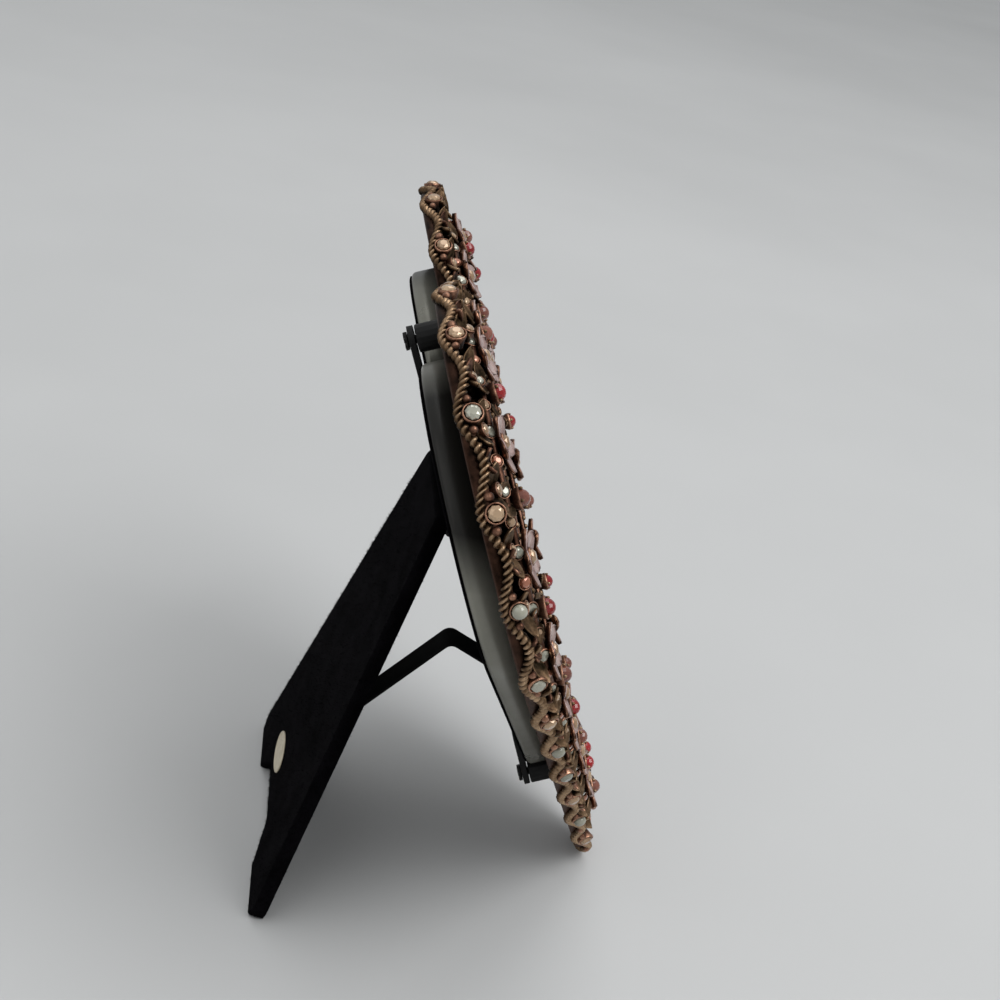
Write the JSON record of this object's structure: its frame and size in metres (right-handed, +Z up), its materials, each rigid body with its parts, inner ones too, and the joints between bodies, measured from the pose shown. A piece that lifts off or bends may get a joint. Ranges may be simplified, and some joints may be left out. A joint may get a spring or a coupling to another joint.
{
  "type": "photo frame",
  "caption": "Heart-shaped table photo frame with a two-layer jewelled copper border, a boxed back held by turn buttons, and a velvet easel leg on a hinge with a ribbon stay.",
  "frame": {"origin": "under the middle of the standing part's bounding box, on the table", "axes": "+X across the heart, +Y to the back where the leg stands, +Z up"},
  "size_m": [0.1388, 0.0724, 0.1293],
  "materials": {
    "antique_copper": "antiqued, worn bright on the high points",
    "red_crystal": "faceted, polished",
    "peach_crystal": "faceted, polished",
    "pewter": "satin",
    "clear_glass": "polished",
    "photo_card": "matte printed paper card",
    "filler_card": "matte grey card",
    "dark_board": "matte pressed board",
    "black_velvet": "short pile",
    "black_ribbon": "woven grosgrain",
    "label": "satin, blank",
    "black_metal": "satin black"
  },
  "bodies": {
    "frame": {"rear_wreath": "antique_copper", "sight_bezel": "antique_copper", "front_wreath": "antique_copper", "red_crystal_01": "red_crystal", "peach_crystal_01": "peach_crystal", "red_crystal_02": "red_crystal", "peach_crystal_02": "peach_crystal", "red_crystal_03": "red_crystal", "peach_crystal_03": "peach_crystal", "red_crystal_04": "red_crystal", "peach_crystal_04": "peach_crystal", "red_crystal_05": "red_crystal", "peach_crystal_05": "peach_crystal", "red_crystal_06": "red_crystal", "peach_crystal_06": "peach_crystal", "red_crystal_07": "red_crystal", "peach_crystal_07": "peach_crystal", "red_crystal_08": "red_crystal", "peach_crystal_08": "peach_crystal", "red_crystal_09": "red_crystal", "peach_crystal_09": "peach_crystal", "red_crystal_10": "red_crystal", "peach_crystal_10": "peach_crystal", "rear_box": "pewter", "glass_pane": "clear_glass", "photo_card": "photo_card", "filler_card": "filler_card", "back_board": "dark_board", "back_velvet": "black_velvet", "turn_button_top_post": "black_metal", "turn_button_top_screw": "black_metal", "turn_button_low_post": "black_metal", "turn_button_low_screw": "black_metal", "hinge_leaf_back": "black_metal", "hinge_pin": "black_metal", "hinge_rivet_back_1": "black_metal", "hinge_rivet_back_2": "black_metal", "ribbon_rivet_back": "black_metal", "ribbon_stay": "black_ribbon"},
    "leg": {"leg_board": "dark_board", "leg_velvet": "black_velvet", "hinge_leaf_leg": "black_metal", "hinge_rivet_leg_1": "black_metal", "hinge_rivet_leg_2": "black_metal", "ribbon_rivet_leg": "black_metal", "label_oval": "label"},
    "button_top": {"turn_button_top": "black_metal"},
    "button_low": {"turn_button_low": "black_metal"}
  },
  "joints": [
    {"name": "leg_fold", "type": "hinge", "parent": "frame", "child": "leg", "pos_m": [0, 0.00857, 0.07695], "axis": [1, 0, 0], "range_deg": [-39, 10.5], "deforming": ["ribbon_stay"]},
    {"name": "turn_button_top_turn", "type": "hinge", "parent": "frame", "child": "button_top", "pos_m": [0, 0.02044, 0.10819], "axis": [0, 0.9225, -0.3859], "continuous": true},
    {"name": "turn_button_low_turn", "type": "hinge", "parent": "frame", "child": "button_low", "pos_m": [0, -0.01763, 0.01717], "axis": [0, 0.9225, -0.3859], "continuous": true}
  ]
}
